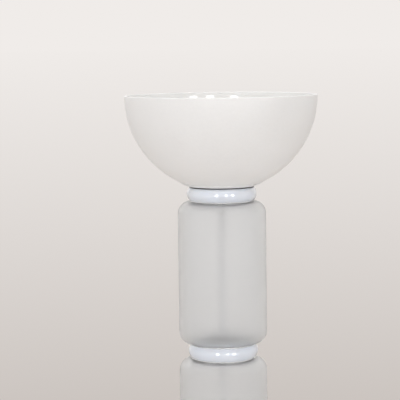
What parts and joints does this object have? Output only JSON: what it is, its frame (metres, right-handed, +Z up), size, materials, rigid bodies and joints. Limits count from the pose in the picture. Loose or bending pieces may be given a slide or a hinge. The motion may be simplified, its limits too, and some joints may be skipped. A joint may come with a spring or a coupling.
{
  "type": "torchiere floor lamp",
  "caption": "Floor lamp whose open opal glass bowl throws light upward from a column of frosted glass cylinders between glossy opal rings on a round weighted base.",
  "frame": {"origin": "on the floor under the middle of the round base", "axes": "+Z up along the column, -Y towards the foot switch, +Y towards the cable gland"},
  "size_m": [0.4499, 0.45, 1.3951],
  "materials": {
    "opal_bowl_glass": "satin outside, glossy inside",
    "opal_ring_glass": "glossy",
    "frosted_glass": "acid-etched, translucent",
    "polished_nickel": "polished",
    "black_lacquer": "satin",
    "black_rubber": "matte",
    "clear_silicone": "soft satin",
    "white_lacquer": "satin",
    "cast_iron": "as cast",
    "zinc_steel": "zinc plated",
    "turned_aluminium": "turned",
    "white_porcelain": "glazed",
    "brass": "bare",
    "white_plastic": "fine satin",
    "black_plastic": "moulded",
    "opal_plastic": "opal",
    "cable_sheath": "smooth"
  },
  "bodies": {
    "stand": {"bowl": "opal_bowl_glass", "opal_ring_1": "opal_ring_glass", "opal_ring_2": "opal_ring_glass", "opal_ring_3": "opal_ring_glass", "opal_ring_4": "opal_ring_glass", "frosted_cylinder_1": "frosted_glass", "frosted_cylinder_2": "frosted_glass", "frosted_cylinder_3": "frosted_glass", "bowl_cup": "polished_nickel", "holder_cap": "polished_nickel", "switch_bezel": "polished_nickel", "top_plate": "black_lacquer", "top_gasket": "black_rubber", "rubber_feet": "black_rubber", "glass_gaskets": "clear_silicone", "bowl_liner": "clear_silicone", "clamp_gasket": "clear_silicone", "base_cover": "white_lacquer", "clamp_washer": "white_lacquer", "base_weight": "cast_iron", "centre_tube": "zinc_steel", "base_nut": "zinc_steel", "base_washer": "zinc_steel", "top_nut": "zinc_steel", "switch_nut": "zinc_steel", "bottom_plate": "zinc_steel", "base_screws": "zinc_steel", "base_disc": "turned_aluminium", "seat_disc_1": "turned_aluminium", "seat_disc_2": "turned_aluminium", "seat_disc_3": "turned_aluminium", "seat_disc_4": "turned_aluminium", "seat_disc_5": "turned_aluminium", "seat_disc_6": "turned_aluminium", "holder_body": "white_porcelain", "holder_shell": "brass", "terminal_block": "white_plastic", "cable_gland": "white_plastic", "gland_nut": "white_plastic", "switch_body": "black_plastic", "riser_cable": "cable_sheath"},
    "button": {"switch_button": "white_plastic"},
    "contact": {"holder_contact": "brass"},
    "bulb": {"bulb_cap": "polished_nickel", "bulb_housing": "white_plastic", "bulb_envelope": "opal_plastic"}
  },
  "joints": [
    {"name": "switch_press", "type": "slide", "parent": "stand", "child": "button", "axis": [0, 0, -1], "range_m": [0, 0.004], "stiffness_N_per_m": 1500, "springref_m": -0.002},
    {"name": "contact_slide", "type": "slide", "parent": "stand", "child": "contact", "axis": [0, 0, 1], "range_m": [0, 0.00272]},
    {"name": "bulb_turn", "type": "hinge", "parent": "contact", "child": "bulb", "pos_m": [0, 0, 1.2332], "axis": [0, 0, 1], "range_deg": [0, 270]}
  ],
  "couplings": [
    {"joint": "bulb_turn", "follows": "contact_slide", "rad_per_m": 1731.4}
  ]
}
